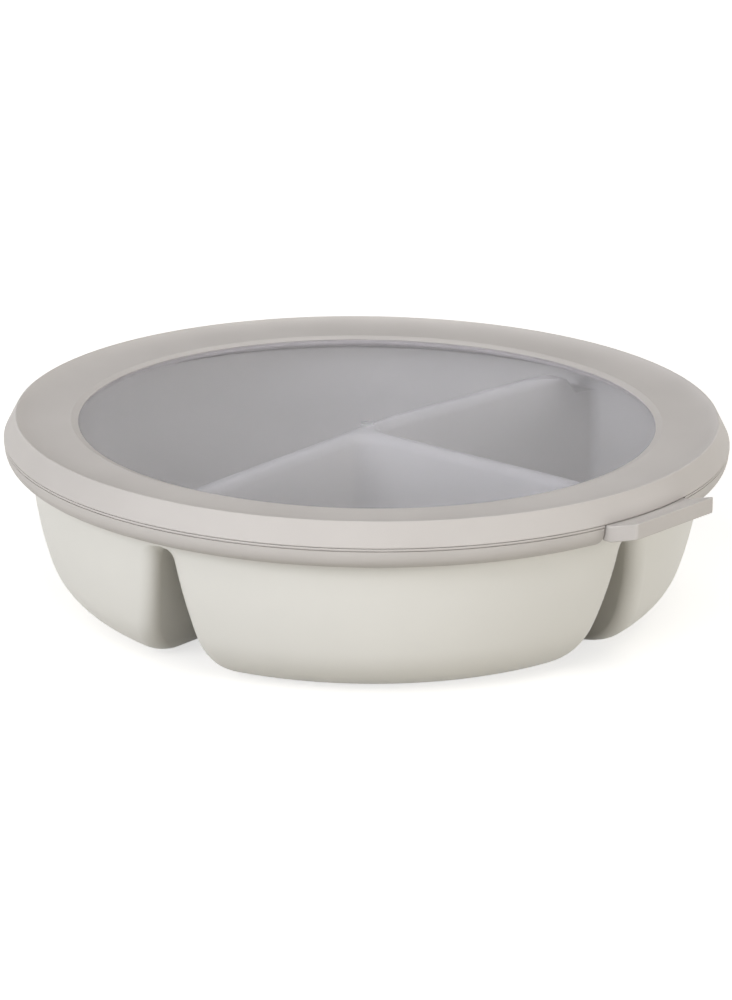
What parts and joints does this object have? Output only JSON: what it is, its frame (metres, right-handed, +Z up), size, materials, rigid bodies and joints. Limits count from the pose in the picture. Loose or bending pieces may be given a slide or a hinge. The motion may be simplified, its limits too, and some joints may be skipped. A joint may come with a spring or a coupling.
{
  "type": "bento bowl",
  "caption": "Round lunch bowl moulded in compartments with open channels between them, and a soft-rimmed press-on lid with a clear window and a pull tab.",
  "frame": {"origin": "centre of the round bowl, on the plane that it stands on", "axes": "+Z up through the lid, -Y towards the viewer of the picture, +X to the viewer's right"},
  "size_m": [0.21, 0.21, 0.056],
  "materials": {
    "bowl_plastic": "satin warm off-white moulded plastic",
    "clear_window": "clear, faintly milky moulded plastic",
    "soft_rim": "soft-touch matte, pale warm grey",
    "soft_lip": "soft-touch matte, pale warm grey",
    "soft_tab": "soft-touch matte, pale warm grey"
  },
  "bodies": {
    "bowl": {"bowl": "bowl_plastic"},
    "lid": {"lid_window": "clear_window", "lid_rim": "soft_rim", "lid_lip": "soft_lip"},
    "tab": {"pull_tab": "soft_tab"}
  },
  "joints": [
    {"name": "lid_lift", "type": "slide", "parent": "bowl", "child": "lid", "axis": [0, 0, 1], "range_m": [0, 0.08]},
    {"name": "tab_flex", "type": "hinge", "parent": "lid", "child": "tab", "pos_m": [0.07788, -0.07087, 0.0492], "axis": [-0.673, -0.7396, 0], "range_deg": [0, 60], "stiffness_Nm_per_rad": 0.02}
  ]
}
